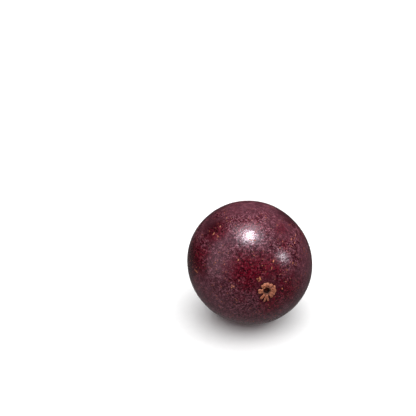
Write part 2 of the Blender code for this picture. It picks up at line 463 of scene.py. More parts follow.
def make_rosette():
    """The stigmas, joined into one body and roughened like dry cork."""
    points, faces = ring_core()
    for number, arm in enumerate(stigma_arms()):
        arm_points, arm_faces = finger(*arm, FINGER_SEED_STEP * number)
        faces += [tuple(len(points) + i for i in face) for face in arm_faces]
        points += arm_points
    made = new_piece("plum_rosette", points, faces)
    joined = join_arms(made)
    local = np.array([v.co for v in joined.vertices])
    normals = np.array([v.normal for v in joined.vertices])
    radius = np.hypot(local[:, 0], local[:, 1])
    rough = roughened(local, normals, radius)
    rise = rough[:, 2] - near_tip_height(radius)
    for vertex, place in zip(joined.vertices, to_world(*rough.T)):
        vertex.co = place
    mark_points(joined, "rise", rise)
    mark_points(joined, "low", lowered(rise, rough[:, 0], rough[:, 1]))
    joined.shade_smooth()
    return made


def shade_under(skin, rosette):
    """Marks the skin's points that the stigmas shade, from 1 under them to 0 at SHADE_REACH_MM."""
    tree = kdtree.KDTree(len(rosette.data.vertices))
    for vertex in rosette.data.vertices:
        tree.insert(vertex.co, vertex.index)
    tree.balance()
    near = 2.0 * max(reach for stigma in STIGMAS for reach in stigma[2:5])
    shade = []
    for vertex in skin.data.vertices:
        offset = vertex.co - CENTRE
        radius = (offset - OUT * offset.dot(OUT)).length / MM
        if radius > near or offset.dot(OUT) < 0.0:
            shade.append(0.0)
            continue
        gap = tree.find(vertex.co)[2] / MM
        inside = float(smooth((RING_MIDDLE_MM - radius) / PIT_SHADE_EDGE_MM))
        shade.append(max(float(smooth(1.0 - gap / SHADE_REACH_MM)), inside))
    mark_points(skin.data, "shade", shade)


# Corky flecks on the skin: polar and clock angle in degrees, length, width and turn from the meridian
FLECKS = (
    (14.3, 334.9, 0.6, 0.34, 60), (14.4, 325.4, 0.62, 0.34, 15), (12, 326.8, 0.6, 0.34, 70),
    (12.4, 334.6, 0.58, 0.34, -5), (30.6, 280.7, 0.9, 0.28, 20), (31.6, 277.5, 0.48, 0.28, 110),
    (27.5, 17.2, 0.66, 0.25, 10), (21, 15, 0.76, 0.25, -5), (25.8, 53.2, 0.54, 0.24, 60),
    (35.1, 54.4, 0.45, 0.22, 20), (14.9, 95.1, 0.48, 0.22, 70), (19.2, 76.1, 0.4, 0.24, 30),
    (73.6, 318.6, 0.9, 0.3, 70), (75.6, 327.2, 0.62, 0.26, 30), (67.8, 320.4, 0.5, 0.24, 0),
    (54.3, 39.8, 0.8, 0.22, 5), (62.3, 45, 0.6, 0.22, 0), (52.9, 45.2, 0.58, 0.22, -10),
    (57.6, 60.8, 0.55, 0.22, 10), (38.3, 321.4, 0.48, 0.36, 80), (72.4, 278.6, 1.4, 0.3, 8),
    (104, 250, 0.6, 0.22, 15), (118, 20, 0.5, 0.26, 50), (96, 120, 0.7, 0.22, 5),
    (128, 95, 0.5, 0.24, 20), (135, 300, 0.6, 0.22, -15), (88, 75, 0.45, 0.22, 30),
)
FLECK_RINGS = 7
FLECK_SIDES = 26
FLECK_HEIGHT_MM = 0.024
FLECK_SINK_MM = 0.008
FLECK_ROOT_MM = 0.035
FLECK_EDGE_ROOT = 0.3

# Unevenness of a fleck, as share and feature size: layers of its outline, and its bumps in millimetres
FLECK_OUTLINE = ((0.45, 0.55), (0.2, 0.2))
FLECK_BUMPS = (0.5, 0.16)


def fleck_sides(number, polar, clock, length, width, turn):
    """World places of a fleck's top and of its root: the middle, then ring after ring outwards."""
    side = 2.0 * math.pi * np.arange(FLECK_SIDES) / FLECK_SIDES
    share = np.repeat(np.arange(1, FLECK_RINGS + 1) / FLECK_RINGS, FLECK_SIDES)
    angle = np.tile(side, FLECK_RINGS)
    rim = np.stack([np.cos(angle), np.sin(angle), 0.0 * angle + number], axis=1)
    ragged = 1.0 + sum(depth * noise_at(rim, size, number) for depth, size in FLECK_OUTLINE)
    long_way = np.concatenate([[0.0], 0.5 * length * share * ragged * np.cos(angle)])
    wide_way = np.concatenate([[0.0], 0.5 * width * share * ragged * np.sin(angle)])
    dome = np.concatenate([[1.0], 1.0 - share**2])
    along = long_way * math.cos(turn) - wide_way * math.sin(turn)
    across = long_way * math.sin(turn) + wide_way * math.cos(turn)
    spots = np.stack([along, across, 0.0 * along + number], axis=1)
    bumps = 1.0 + FLECK_BUMPS[0] * noise_at(spots, FLECK_BUMPS[1])
    round_axis = across / (HALF_WIDTH_MM * math.sin(polar))
    skin = skin_places(polar + along / HALF_WIDTH_MM, clock + round_axis)
    outwards = skin - np.array(CENTRE)
    outwards /= np.linalg.norm(outwards, axis=1)[:, None]
    top_mm = FLECK_HEIGHT_MM * dome * bumps - FLECK_SINK_MM
    root_mm = FLECK_ROOT_MM * (FLECK_EDGE_ROOT + dome)
    return skin + outwards * (top_mm * MM)[:, None], skin - outwards * (root_mm * MM)[:, None]


def disc_faces(middle):
    """Faces of one side of a fleck, whose rings of points follow its middle point."""
    faces = cap_faces(middle, middle + 1, FLECK_SIDES)
    for ring in range(FLECK_RINGS - 1):
        inner = middle + 1 + ring * FLECK_SIDES
        faces += ring_faces(inner + FLECK_SIDES, inner, FLECK_SIDES)
    return faces


def make_flecks():
    """Thin ragged scabs that lie on the skin, each a closed lens rooted in it."""
    points = []
    faces = []
    for number, (polar, clock, length, width, turn) in enumerate(FLECKS):
        angles = (math.radians(polar), math.radians(clock))
        top, root = fleck_sides(number, *angles, length, width, math.radians(turn))
        faces += [face[::-1] for face in disc_faces(len(points))]
        points += list(top)
        top_rim = len(points) - FLECK_SIDES
        faces += disc_faces(len(points))
        points += list(root)
        faces += ring_faces(len(points) - FLECK_SIDES, top_rim, FLECK_SIDES)
    return new_piece("plum_flecks", points, faces)


class Graph:
    """Short calls that build the nodes of a material or a world."""

    def __init__(self, owner):
        self.owner = owner
        owner.use_nodes = True
        self.tree = owner.node_tree

    def finish(self, values, shader="Principled BSDF"):
        """The owner, once these sockets of its shader are set or linked to these values."""
        for name, value in values.items():
            self.feed(self.tree.nodes[shader].inputs[name], value)
        return self.owner

    def add(self, kind, *values, **settings):
        """A node with these settings, its first inputs set or linked to these values."""
        made = self.tree.nodes.new("ShaderNode" + kind)
        for setting, value in settings.items():
            setattr(made, setting, value)
        for socket, value in zip(made.inputs, values):
            self.feed(socket, value)
        return made

    def feed(self, socket, value):
        if isinstance(value, bpy.types.NodeSocket):
            self.tree.links.new(value, socket)
        elif value is not None:
            socket.default_value = value

    def math(self, operation, first, second=0.0, third=0.0):
        return self.add("Math", first, second, third, operation=operation).outputs[0]

    def product(self, *factors):
        result = factors[0]
        for factor in factors[1:]:
            result = self.math("MULTIPLY", result, factor)
        return result

    def largest(self, *values):
        result = values[0]
        for value in values[1:]:
            result = self.math("MAXIMUM", result, value)
        return result

    def minus(self, first, second):
        return self.math("SUBTRACT", first, second)

    def line(self, value, factor, start):
        """Start plus a factor times the value."""
        return self.math("MULTIPLY_ADD", value, factor, start)

    def rise(self, value, low, high):
        """0 below low, 1 above high, and smooth between. It falls instead where low is the larger."""
        made = self.add("MapRange", value, low, high, interpolation_type="SMOOTHSTEP")
        return made.outputs[0]

    def noise(self, vector, scale, detail=2.0, roughness=0.5, distortion=0.0):
        made = self.add("TexNoise", vector, None, scale, detail, roughness)
        made.inputs["Distortion"].default_value = distortion
        return made.outputs["Fac"]

    def cells(self, vector, scale):
        """How far a point is from the middle of its cell, and two random values of the cell."""
        made = self.add("TexVoronoi", vector, None, scale)
        random = self.add("SeparateColor", made.outputs["Color"])
        return made.outputs["Distance"], random.outputs[0], random.outputs[1]

    def attribute(self, name):
        return self.add("Attribute", attribute_name=name).outputs["Fac"]

    def dot(self, vector, axis):
        made = self.add("VectorMath", vector, tuple(axis), operation="DOT_PRODUCT")
        return made.outputs["Value"]

    def vector(self, x, y, z):
        return self.add("CombineXYZ", x, y, z).outputs[0]

    def mix(self, share, first, second):
        """A colour between two colours, each given as red, green and blue or as a socket."""
        made = self.add("Mix", share, data_type="RGBA")
        for socket, value in ((made.inputs[6], first), (made.inputs[7], second)):
            self.feed(socket, (*value, 1.0) if isinstance(value, tuple) else value)
        return made.outputs[2]

    def cover(self, colour, layer, *shares):
        """The colour under a layer of another colour, whose share is the product of these."""
        return self.mix(self.product(*shares), colour, layer)

    def bump(self, height, depth_mm):
        """A normal that follows this height, where 1 stands for a depth in millimetres."""
        made = self.add("Bump", 1.0, depth_mm * MM)
        self.feed(made.inputs["Height"], height)
        return made.outputs[0]


# How far noise moves the edge of a patch on the skin, and how much of its reach is full strength
PATCH_WOBBLE = 1.2
PATCH_CORE = 0.1


class FruitPlaces:
    """Nodes that give where a point is on the fruit, in millimetres and in angles."""

    def __init__(self, graph):
        self.graph = graph
        world = graph.add("TexCoord").outputs["Object"]
        from_centre = graph.add("VectorMath", world, tuple(CENTRE), operation="SUBTRACT")
        scaled = graph.add("VectorMath", from_centre.outputs[0], operation="SCALE")
        scaled.inputs["Scale"].default_value = 1.0 / MM
        right = graph.dot(scaled.outputs[0], RIGHT)
        up = graph.dot(scaled.outputs[0], UP)
        self.out = graph.dot(scaled.outputs[0], OUT)
        self.place = graph.vector(right, up, self.out)
        beside_axis = graph.vector(right, up, 0.0)
        self.radius = graph.add("VectorMath", beside_axis, operation="LENGTH").outputs["Value"]
        self.polar = graph.math("ARCTAN2", self.radius, self.out)
        clock = graph.math("ARCTAN2", right, up)
        self.sine = graph.math("SINE", clock)
        self.cosine = graph.math("COSINE", clock)

    def noise(self, settings):
        return self.graph.noise(self.place, *settings)

    def streaks(self, round_scale, along_scale):
        """A place for noise that runs in strokes along the meridians."""
        graph = self.graph
        return graph.vector(
            graph.product(self.sine, round_scale),
            graph.product(self.cosine, round_scale),
            graph.product(self.polar, along_scale),
        )

    def patch(self, polar_degrees, clock_degrees, reach_mm, wobble):
        """1 at a spot on the skin, falling smoothly to 0 at about this reach, where wobble is noise."""
        graph = self.graph
        polar = math.radians(polar_degrees)
        clock = math.radians(clock_degrees)
        radius = HALF_WIDTH_MM * math.sin(polar)
        spot = (radius * math.sin(clock), radius * math.cos(clock), HALF_LENGTH_MM * math.cos(polar))
        gap = graph.add("VectorMath", self.place, spot, operation="DISTANCE").outputs["Value"]
        gap = graph.line(graph.minus(wobble, 0.5), PATCH_WOBBLE * reach_mm, gap)
        return graph.rise(gap, reach_mm, PATCH_CORE * reach_mm)

    def patches(self, spots, wobble, start):
        """The largest of the patches at these spots and of start."""
        return self.graph.largest(start, *(self.patch(*spot, wobble) for spot in spots))


# Colours of the skin, the cork and the pits, linear
PLUM_NIGHT = (0.024, 0.0005, 0.0030)
PLUM_DARK = (0.066, 0.0024, 0.0112)
PLUM_RED = (0.138, 0.0004, 0.0100)
# Nearly black purple of the dusky patches, partly painted shade
PLUM_DUSK_AND_SHADE = (0.018, 0.0006, 0.0022)
BLOOM_GREY = (0.118, 0.046, 0.066)
SPECK_PINK = (0.350, 0.126, 0.164)
SPECK_RED = (0.320, 0.050, 0.074)
SPECK_TAN = (0.480, 0.160, 0.094)
RUSSET = (0.250, 0.080, 0.040)
CORK_PALE = (0.470, 0.168, 0.112)
CORK_TAN = (0.320, 0.092, 0.050)
CORK_GOLD = (0.560, 0.245, 0.115)
# Bright orange of the fibres and spots; on the spots it is partly painted highlight
CORK_BRIGHT = (0.800, 0.285, 0.118)
# Dark brown: painted shade in the stigmas' throat and in the stem end's moat and pits, partly painted
# shade in cork cracks
CORK_DARK = (0.060, 0.019, 0.010)
# Dark brown of the stem cork's dark threads, also painted shade in the low places of the stigmas
CORK_THREAD_DARK_AND_SHADE = (0.105, 0.034, 0.022)
# Nearly black: painted shade in clefts and under the stigmas
NEARLY_BLACK = (0.010, 0.004, 0.003)
# Pit brown: partly the pit's own colour, partly painted shade
PIT_BROWN = (0.040, 0.010, 0.006)
STUB_BROWN = (0.120, 0.018, 0.011)
SCAR_GREY = (0.150, 0.120, 0.090)

# Redder patches of the skin: polar and clock angle in degrees and reach in millimetres
RED_PATCHES = (
    (24, 326, 6.0), (19, 102, 4.8), (22, 8, 4.4), (15, 150, 4.4), (77, 289, 5.2),
    (74, 322, 3.2), (82, 60, 3.4), (115, 150, 6.5), (125, 20, 6.5), (110, 230, 5.0),
)

# Hazier patches of the skin, given in the same way
HAZE_PATCHES = (
    (62, 262, 6.0), (50, 302, 4.5), (94, 358, 6.0), (52, 82, 4.0), (62, 26, 4.6), (86, 28, 4.8),
    (62, 318, 3.6), (52, 252, 4.5), (75, 205, 6.0), (100, 100, 6.0), (130, 290, 6.0),
)

# Patches of nearly black purple, given in the same way: the one at the left rim is painted shade
DUSK_AND_SHADE_PATCHES = (
    (88, 282, 6.0), (84, 322, 4.0), (84, 70, 3.4), (86, 38, 4.4), (130, 100, 5.0), (115, 330, 4.5),
)

# Noise over the fruit: scale for each millimetre, detail and roughness
BROAD_NOISE = (0.16, 3.0)
MIDDLE_NOISE = (0.50, 3.0, 0.6)
FINE_NOISE = (2.6, 3.0, 0.6)
CRUMB_NOISE = (3.5, 4.0, 0.7)
BEND_NOISE = (1.9, 2.0, 0.6)
MOTTLE_NOISE = (1.1, 3.0, 0.6)
GRAIN_NOISE = (6.5, 2.0, 0.6)
POWDER_NOISE = (13.0, 3.0, 0.7)
TORN_NOISE = (4.5, 3.0, 0.7)
PEBBLE_NOISE = (2.2, 2.0, 0.5)

# How much haze the red takes away, how deep the two ends reach, and how far noise bends the cells
HAZE_LOST_TO_RED = -0.8
END_DEPTH_MM = 4.0
BEND_MM = 0.7


class Skin(FruitPlaces):
    """Places on the skin, the noise that its layers share, and where it is red, where hazy, and where
    nearly black purple, which is partly painted shade.
    """

    def __init__(self, graph):
        super().__init__(graph)
        self.middle = self.noise(MIDDLE_NOISE)
        self.fine = self.noise(FINE_NOISE)
        self.crumbs = self.noise(CRUMB_NOISE)
        self.front = graph.rise(self.out, 0.0, END_DEPTH_MM)
        self.behind = graph.rise(self.out, 0.0, -END_DEPTH_MM)
        broad = self.noise(BROAD_NOISE)
        self.red = self.patches(RED_PATCHES, self.middle, graph.rise(broad, 0.55, 0.78))
        haze = self.patches(HAZE_PATCHES, self.middle, graph.rise(broad, 0.50, 0.28))
        self.haze = graph.product(haze, graph.line(self.red, HAZE_LOST_TO_RED, 1.0))
        self.dusk_and_shade = self.patches(DUSK_AND_SHADE_PATCHES, self.middle, 0.0)
        bends = graph.add("TexNoise", self.place, None, *BEND_NOISE).outputs["Color"]
        bent = graph.add("VectorMath", bends, (BEND_MM,) * 3, self.place, operation="MULTIPLY_ADD")
        self.bent = bent.outputs[0]


def ground_colour(skin):
    """Dark purple to red, greyed where the bloom lies."""
    graph = skin.graph
    light = graph.mix(skin.red, PLUM_DARK, PLUM_RED)
    colour = graph.mix(graph.rise(skin.fine, 0.39, 0.65), PLUM_NIGHT, light)
    return graph.cover(colour, BLOOM_GREY, skin.haze, HAZE_SHARE)


# Pink specks: cells for each millimetre and least reach in each layer, then how they spread and crowd
PINK_LAYERS = ((3.5, 0.14), (2.4, 0.18))
PINK_SPREAD = 0.26
PINK_SPAN = (0.20, -0.16)
PINK_UNEVENNESS = 0.6
PINK_STRENGTH = 1.45
CROWD_LEAST = 0.50
CROWD_RISE = 0.55
CROWD_LOST_TO_HAZE = -0.25
REACH_LOST_TO_RED = -0.14
REACH_GRAIN = 1.6


def pink_specks(skin):
    """Share of the fine pink specks: torn dots that crowd together in places, powdery within."""
    graph = skin.graph
    mottle = graph.rise(skin.noise(MOTTLE_NOISE), 0.32, 0.60)
    crowd = graph.line(mottle, CROWD_RISE, CROWD_LEAST)
    crowd = graph.line(skin.haze, CROWD_LOST_TO_HAZE, crowd)
    grain = graph.minus(skin.noise(GRAIN_NOISE), 0.5)
    more_reach = graph.line(skin.red, REACH_LOST_TO_RED, graph.product(grain, REACH_GRAIN))
    specks = 0.0
    for scale, least_reach in PINK_LAYERS:
        gap, chance, _ = graph.cells(skin.bent, scale)
        reach = graph.line(chance, PINK_SPREAD, graph.math("ADD", least_reach, more_reach))
        layer = graph.rise(graph.minus(gap, reach), *PINK_SPAN)
        strength = graph.line(chance, PINK_UNEVENNESS, 1.0 - PINK_UNEVENNESS)
        specks = graph.largest(specks, graph.product(layer, strength))
    powder = graph.rise(skin.noise(POWDER_NOISE), 0.20, 0.72)
    return graph.math("MINIMUM", graph.product(specks, crowd, powder, PINK_STRENGTH), 1.0)


# Tan specks: cells for each millimetre, least reach and rarity in each layer, and how torn they are
TAN_LAYERS = ((0.95, -0.07, 0.50), (1.7, -0.03, 0.62))
TAN_TORN = 0.34
TAN_SPAN = (0.05, -0.03)
TAN_RARITY_STEP = 0.04


def tan_specks(skin):
    """Share of the small corky specks that lie scattered over the skin."""
    graph = skin.graph
    torn = skin.noise(TORN_NOISE)
    specks = 0.0
    for scale, least_reach, rarity in TAN_LAYERS:
        gap, _, chance = graph.cells(skin.bent, scale)
        gap = graph.minus(gap, graph.line(torn, TAN_TORN, least_reach))
        chosen = graph.rise(chance, rarity, rarity + TAN_RARITY_STEP)
        specks = graph.largest(specks, graph.product(graph.rise(gap, *TAN_SPAN), chosen))
    return specks


# Tip: distances from the axis between which each layer comes in, and the strength of each. The margin is
# painted shade round the stigmas, and the pit's brown is partly painted shade
MARGIN_SPAN_MM = (3.2, 1.9)
MARGIN_SHARE = 0.45
PIT_SPAN_MM = (0.70, 0.45)
STUB_SPAN_MM = (0.36, 0.14)
STUB_SHARE = 0.8
TIP_NOISE_SPAN = (0.30, 0.60)
SHADE_SHARE = 0.93


def with_tip(skin, colour, shade):
    """The colour with painted shade under the stigmas and in a darker margin round them, with the pit,
    whose brown is partly painted shade, and with the style's stub.
    """
    graph = skin.graph
    margin = graph.product(graph.rise(skin.radius, *MARGIN_SPAN_MM), skin.front)
    patchy = graph.rise(skin.middle, *TIP_NOISE_SPAN)
    # Painted shade: a darker margin round the stigmas, uneven by noise
    colour = graph.cover(colour, PLUM_DARK, margin, patchy, MARGIN_SHARE)
    # Painted shade under and between the stigmas
    colour = graph.cover(colour, NEARLY_BLACK, shade, SHADE_SHARE)
    # The pit's dark brown, partly painted shade
    pit = graph.product(graph.rise(skin.radius, *PIT_SPAN_MM), skin.front)
    colour = graph.cover(colour, PIT_BROWN, pit, graph.rise(skin.fine, *TIP_NOISE_SPAN))
    stub = graph.rise(skin.radius, *STUB_SPAN_MM)
    return graph.cover(colour, STUB_BROWN, stub, skin.front, STUB_SHARE)


# Stem end: streaks and noise of its rays, and how far these and crumbs carry each edge
RAY_STREAKS = (9.0, 3.0)
RAY_NOISE = (1.0, 3.0, 0.7)
RUSSET_EDGE_MM = 1.6
RUSSET_RAYS_MM = 5.0
RUSSET_SPAN_MM = (-0.5, 1.2)
RUSSET_SHARE = 0.75
CORK_EDGE_START_MM = 0.5
CORK_RAYS_MM = 1.8
CORK_CRUMBS_MM = 2.6
CORK_SPAN_MM = (-0.20, 0.30)

# Stem end: threads in the cork, the painted shade of the arc round the scar and of the pits, and the dot
# in the scar
THREAD_STREAKS = (11.0, 4.0)
THREAD_NOISE = (2.4, 3.0, 0.7)
BRIGHT_THREAD_SHARE = 0.6
DARK_THREAD_SHARE = 0.7
ARC_GAP_SPAN_MM = (0.26, 0.06)
ARC_LEAST = 0.4
HOLE_CELLS = 1.5
HOLE_RAGGED = 0.5
HOLES_INNER_SPAN_MM = (1.1, 1.3)
HOLES_OUTER_SPAN_MM = (2.5, 2.0)
DARK_SHARE = 0.92
SCAR_DOT_SPAN_MM = (0.26, 0.14)
SCAR_DOT_SHARE = 0.85


def stem_cork(skin, rays):
    """Share of the corky patch at the stem end, ragged at its edge."""
    graph = skin.graph
    edge = graph.line(rays, CORK_RAYS_MM, CORK_EDGE_START_MM)
    edge = graph.line(skin.crumbs, CORK_CRUMBS_MM, edge)
    patch = graph.rise(graph.minus(edge, skin.radius), *CORK_SPAN_MM)
    return graph.product(patch, skin.behind)


def stem_cork_colour(skin):
    """Tan and golden cork with bright and dark threads along the meridians."""
    graph = skin.graph
    colour = graph.mix(graph.rise(skin.crumbs, 0.36, 0.62), CORK_TAN, CORK_GOLD)
    threads = graph.noise(skin.streaks(*THREAD_STREAKS), *THREAD_NOISE)
    bright = graph.rise(threads, 0.50, 0.66)
    dark = graph.rise(threads, 0.42, 0.30)
    colour = graph.cover(colour, CORK_BRIGHT, bright, BRIGHT_THREAD_SHARE)
    return graph.cover(colour, CORK_THREAD_DARK_AND_SHADE, dark, DARK_THREAD_SHARE)


def stem_arc(skin, rays):
    """Share of painted shade in the moat round the scar, darkest on its upper side."""
    graph = skin.graph
    gap = graph.math("ABSOLUTE", graph.minus(skin.radius, MOAT_RADIUS_MM))
    moat = graph.product(graph.rise(gap, *ARC_GAP_SPAN_MM), skin.behind)
    side = graph.line(graph.rise(skin.cosine, -0.3, 0.5), 1.0 - ARC_LEAST, ARC_LEAST)
    return graph.product(moat, graph.rise(rays, 0.35, 0.55), side)


def stem_holes(skin):
    """Share of the painted shade of small pits in the corky patch."""
    graph = skin.graph
    gap, chance, _ = graph.cells(skin.place, HOLE_CELLS)
    gap = graph.line(graph.minus(skin.crumbs, 0.5), HOLE_RAGGED, gap)
    inner = graph.rise(skin.radius, *HOLES_INNER_SPAN_MM)
    outer = graph.rise(skin.radius, *HOLES_OUTER_SPAN_MM)
    ring = graph.product(inner, outer, skin.behind)
    return graph.product(graph.rise(gap, 0.27, 0.16), graph.rise(chance, 0.40, 0.44), ring)


def with_stem_end(skin, colour, cork, rays):
    """The colour with russet rays, the corky patch, the painted shade of its arc and pits, and the dot
    in the scar.
    """
    graph = skin.graph
    edge = graph.line(rays, RUSSET_RAYS_MM, RUSSET_EDGE_MM)
    russet = graph.product(graph.rise(graph.minus(edge, skin.radius), *RUSSET_SPAN_MM), skin.behind)
    colour = graph.cover(colour, RUSSET, russet, graph.rise(skin.crumbs, 0.40, 0.60), RUSSET_SHARE)
    colour = graph.cover(colour, stem_cork_colour(skin), cork, graph.rise(skin.crumbs, 0.30, 0.42))
    # Painted shade in the moat round the scar and in the small pits
    for dark in (stem_arc(skin, rays), stem_holes(skin)):
        colour = graph.cover(colour, CORK_DARK, dark, DARK_SHARE)
    dot = graph.rise(skin.radius, *SCAR_DOT_SPAN_MM)
    return graph.cover(colour, SCAR_GREY, dot, skin.behind, SCAR_DOT_SHARE)


# Strength of haze, of the nearly black purple patches that are partly painted shade, and of tan specks,
# and roughness of wax, haze, fine noise and dry places
HAZE_SHARE = 0.30
DUSK_AND_SHADE_SHARE = 0.66
TAN_SHARE = 0.85
WAX_ROUGHNESS = 0.23
HAZE_ROUGHNESS = 0.08
FINE_ROUGHNESS = 0.08
DRY_ROUGHNESS = 0.40

# Height of the finest relief as shares of its depth, for each noise or layer
SKIN_BUMP_MM = 0.030
PEBBLE_HEIGHT = 0.90
FINE_HEIGHT = 0.35
PINK_HEIGHT = 0.12
CORK_HEIGHT = 1.2

# Wax: a clear coat over the skin, both weaker on dry places
SKIN_IOR = 1.45
SKIN_TINT = (1.0, 0.80, 0.98, 1.0)
SKIN_SPECULAR = 0.50
SPECULAR_LOST_TO_DRY = -0.40
COAT_WEIGHT = 0.45
COAT_ROUGHNESS = 0.14


def skin_material():
    """Dark waxy skin: red to purple under a grey bloom, with fine specks and corky ends."""
    graph = Graph(bpy.data.materials.new("plum_skin"))
    skin = Skin(graph)
    pink = pink_specks(skin)
    tan = tan_specks(skin)
    shade = graph.attribute("shade")
    rays = graph.noise(skin.streaks(*RAY_STREAKS), *RAY_NOISE)
    cork = stem_cork(skin, rays)

    colour = ground_colour(skin)
    colour = graph.mix(pink, colour, graph.mix(skin.red, SPECK_PINK, SPECK_RED))
    # Nearly black purple patches; the one at the left rim is painted shade
    colour = graph.cover(colour, PLUM_DUSK_AND_SHADE, skin.dusk_and_shade, DUSK_AND_SHADE_SHARE)
    colour = graph.cover(colour, SPECK_TAN, tan, TAN_SHARE)
    colour = with_tip(skin, colour, shade)
    colour = with_stem_end(skin, colour, cork, rays)

    dry = graph.largest(cork, tan, shade)
    rough = graph.line(skin.haze, HAZE_ROUGHNESS, WAX_ROUGHNESS)
    rough = graph.line(skin.fine, FINE_ROUGHNESS, rough)
    rough = graph.line(dry, DRY_ROUGHNESS, rough)

    pebbles = skin.noise(PEBBLE_NOISE)
    height = graph.line(skin.fine, FINE_HEIGHT, graph.product(pebbles, PEBBLE_HEIGHT))
    height = graph.line(pink, PINK_HEIGHT, height)
    height = graph.line(graph.product(cork, skin.crumbs), CORK_HEIGHT, height)
    normal = graph.bump(height, SKIN_BUMP_MM)

    return graph.finish({
        "Base Color": colour,
        "Roughness": rough,
        "Normal": normal,
        "IOR": SKIN_IOR,
        "Specular Tint": SKIN_TINT,
        "Specular IOR Level": graph.line(dry, SPECULAR_LOST_TO_DRY, SKIN_SPECULAR),
        "Coat Weight": graph.line(dry, -COAT_WEIGHT, COAT_WEIGHT),
        "Coat Roughness": COAT_ROUGHNESS,
        "Coat Normal": normal,
    })


# Dry cork of the stigmas and flecks: its streaks and noise, the strength of cracks, which are partly
# painted shade, and its relief. Brightness is the share of bright fibres and of bright spots that are
# partly painted highlight
CORK_FIBRE_STREAKS = (26.0, 90.0)
CORK_FIBRE_NOISE = (1.0, 4.0, 0.65, 0.6)
CORK_MOTTLE_NOISE = (2.4, 3.0, 0.6)
CORK_GRAIN_NOISE = (9.0, 4.0, 0.7)
CORK_PALE_AND_LIT_SPOT_NOISE = (3.4, 2.0, 0.5)
CORK_CRACK_SHARE = 0.75
CORK_NOISE_HEIGHT = 0.6
CORK_BUMP_MM = 0.06
CORK_ROUGHNESS = 0.62
CORK_ROUGHNESS_RISE = 0.2
CORK_SPECULAR = 0.3
STIGMA_BRIGHTNESS = 0.65
FLECK_BRIGHTNESS = 1.0

# Millimetres of lowness, of height and from the axis between which painted shade darkens the stigmas
LOW_SPAN_MM = (-0.03, 0.05)
CLEFT_SPAN_MM = (0.02, 0.12)
THROAT_SPAN_MM = (0.92, 0.58)
THROAT_SHARE = 0.85
FOOT_SPAN_MM = (0.22, 0.04)
FOOT_SHARE = 0.92


def cork_colour(fruit, brightness):
    """Colour and relief of dry cork: tan with brighter fibres and bright spots that are partly painted
    highlight, dark where it is cracked, which is partly painted shade.
    """
    graph = fruit.graph
    fibres = graph.noise(fruit.streaks(*CORK_FIBRE_STREAKS), *CORK_FIBRE_NOISE)
    mottle = fruit.noise(CORK_MOTTLE_NOISE)
    grain = fruit.noise(CORK_GRAIN_NOISE)
    pale_and_lit_spots = fruit.noise(CORK_PALE_AND_LIT_SPOT_NOISE)
    colour = graph.mix(graph.rise(mottle, 0.38, 0.62), CORK_TAN, CORK_PALE)
    # Bright spots: partly paler cork, partly painted highlight
    colour = graph.cover(colour, CORK_BRIGHT, graph.rise(pale_and_lit_spots, 0.54, 0.68), brightness)
    colour = graph.cover(colour, CORK_BRIGHT, graph.rise(fibres, 0.50, 0.72), brightness)
    # Dark cracks: partly the cork's own dark grain, partly painted shade
    colour = graph.cover(colour, CORK_DARK, graph.rise(grain, 0.46, 0.34), CORK_CRACK_SHARE)
    height = graph.line(fibres, CORK_NOISE_HEIGHT, graph.product(grain, CORK_NOISE_HEIGHT))
    return colour, height


def finish_cork(graph, colour, height):
    """The finished material: matt, with this colour and fine relief."""
    return graph.finish({
        "Base Color": colour,
        "Roughness": graph.line(height, CORK_ROUGHNESS_RISE, CORK_ROUGHNESS),
        "Normal": graph.bump(height, CORK_BUMP_MM),
        "Specular IOR Level": CORK_SPECULAR,
    })


def rosette_material():
    """Cork of the stigmas, with painted shade that makes it nearly black down in the clefts and the pit.
    """
    graph = Graph(bpy.data.materials.new("plum_stigma_cork"))
    fruit = FruitPlaces(graph)
    colour, height = cork_colour(fruit, STIGMA_BRIGHTNESS)
    rise = graph.attribute("rise")
    low = graph.attribute("low")
    # Painted shade in the low places, nearly black in the clefts
    colour = graph.cover(colour, CORK_THREAD_DARK_AND_SHADE, graph.rise(low, *LOW_SPAN_MM))
    colour = graph.cover(colour, NEARLY_BLACK, graph.rise(low, *CLEFT_SPAN_MM))
    # Painted shade in the throat round the pit, and where the stigmas meet the skin
    colour = graph.cover(colour, CORK_DARK, graph.rise(fruit.radius, *THROAT_SPAN_MM), THROAT_SHARE)
    colour = graph.cover(colour, NEARLY_BLACK, graph.rise(rise, *FOOT_SPAN_MM), FOOT_SHARE)
    return finish_cork(graph, colour, height)


def fleck_material():
    """Cork of the scabs on the skin."""
    graph = Graph(bpy.data.materials.new("plum_fleck_cork"))
    colour, height = cork_colour(FruitPlaces(graph), FLECK_BRIGHTNESS)
    return finish_cork(graph, colour, height)


# Camera: the fruit's half width and place in the photograph, and from which side and height
LENS_MM = 100.0
SENSOR_MM = 36.0
CLIP_START = 0.005
FRAME_PIXELS = 416.0
RADIUS_PIXELS = 62.6
FRUIT_PIXEL_X = 249.6
FRUIT_PIXEL_Y = 262.5
CAMERA_AZIMUTH = math.radians(-14.3)
CAMERA_ELEVATION = math.radians(30.2)

# Lights: distance from the fruit and sizes in metres, power in watts, and the shares of the
# camera's axes by which the ceiling and the light from below stand aside
LIGHT_DISTANCE = 0.6
CEILING_SIZE = 1.5
CEILING_SIDE = 0.16
CEILING_FRONT = 0.08
CEILING_POWER = 17.9
BOUNCE_SIZE = 0.8
BOUNCE_SIDE = -0.7
BOUNCE_FRONT = 1.1
BOUNCE_POWER = 1.9

# Softboxes that show as reflections: pixel of the reflection, width and height in metres, power
REFLECTED_LIGHTS = (
    ("overhead", 249.2, 236.3, 0.155, 0.155, 3.0),
    ("overhead_glow", 249.2, 233.5, 0.44, 0.44, 2.0),
    ("right_side", 279.9, 257.0, 0.08, 0.08, 0.62),
    ("right_glow", 279.0, 255.0, 0.20, 0.22, 0.08),
    ("left_side", 218.0, 260.0, 0.36, 0.66, 0.40),
)

